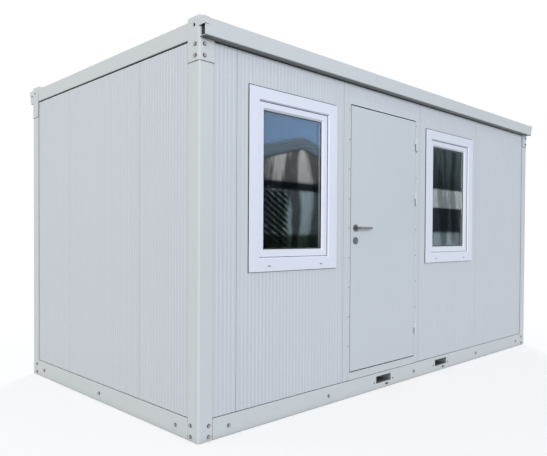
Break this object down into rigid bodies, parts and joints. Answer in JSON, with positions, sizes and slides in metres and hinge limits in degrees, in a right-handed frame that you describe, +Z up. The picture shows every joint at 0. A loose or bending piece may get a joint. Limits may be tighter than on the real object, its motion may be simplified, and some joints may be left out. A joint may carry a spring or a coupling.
{
  "type": "portable site cabin",
  "caption": "Portable site cabin: bolted steel frame with ribbed insulated panels, a hinged door, casement windows, fork pockets and lifting corners.",
  "frame": {"origin": "middle of the plan, on the ground under the base rails", "axes": "+X along the front to the right, -Y out of the front with the door, +Z up"},
  "size_m": [4.548, 2.488, 2.464],
  "materials": {
    "frame_steel": "satin paint",
    "pocket_steel": "satin paint",
    "wall_panel": "coil-coated sheet",
    "inner_lining": "coil-coated sheet",
    "floor_board": "sealed board",
    "roof_sheet": "galvanised sheet",
    "door_frame": "satin paint",
    "sill_metal": "satin paint",
    "door_paint": "satin paint",
    "handle_steel": "brushed",
    "hinge_steel": "satin paint",
    "window_white": "satin",
    "glass": "clear"
  },
  "bodies": {
    "cabin": {"post_front_left": "frame_steel", "post_front_right": "frame_steel", "post_rear_left": "frame_steel", "post_rear_right": "frame_steel", "base_rail_front": "frame_steel", "base_rail_rear": "frame_steel", "base_rail_left": "frame_steel", "base_rail_right": "frame_steel", "roof_rail_front": "frame_steel", "roof_rail_rear": "frame_steel", "roof_rail_left": "frame_steel", "roof_rail_right": "frame_steel", "corner_fitting_front_left": "frame_steel", "corner_fitting_front_right": "frame_steel", "corner_fitting_rear_left": "frame_steel", "corner_fitting_rear_right": "frame_steel", "fork_pocket_left": "pocket_steel", "fork_pocket_right": "pocket_steel", "floor_joists": "pocket_steel", "front_wall_filler": "wall_panel", "front_wall_window_left": "wall_panel", "front_wall_door_left": "wall_panel", "front_wall_door_head": "wall_panel", "front_wall_door_right": "wall_panel", "front_wall_window_right": "wall_panel", "front_wall_plain": "wall_panel", "rear_wall": "wall_panel", "left_wall": "wall_panel", "right_wall": "wall_panel", "ceiling_panel": "inner_lining", "corner_linings": "inner_lining", "floor_deck": "floor_board", "roof_sheet": "roof_sheet", "door_jamb_left": "door_frame", "door_jamb_right": "door_frame", "door_head": "door_frame", "door_sill": "sill_metal", "hinges_frame": "hinge_steel", "window_frame_left": "window_white", "window_frame_right": "window_white", "window_sash_left": "window_white", "window_sash_right": "window_white", "window_panes": "glass"},
    "door": {"door_leaf": "door_paint", "door_furniture": "handle_steel", "hinges_leaf": "hinge_steel"},
    "lever": {"door_lever": "handle_steel"}
  },
  "joints": [
    {"name": "door_hinge", "type": "hinge", "parent": "cabin", "child": "door", "pos_m": [0, -1.193, 1.2], "axis": [0, 0, 1], "range_deg": [0, 110]},
    {"name": "lever_turn", "type": "hinge", "parent": "door", "child": "lever", "pos_m": [-0.8185, -1.183, 1.265], "axis": [0, 1, 0], "range_deg": [0, 45], "stiffness_Nm_per_rad": 1.2, "springref_deg": -45.84}
  ]
}
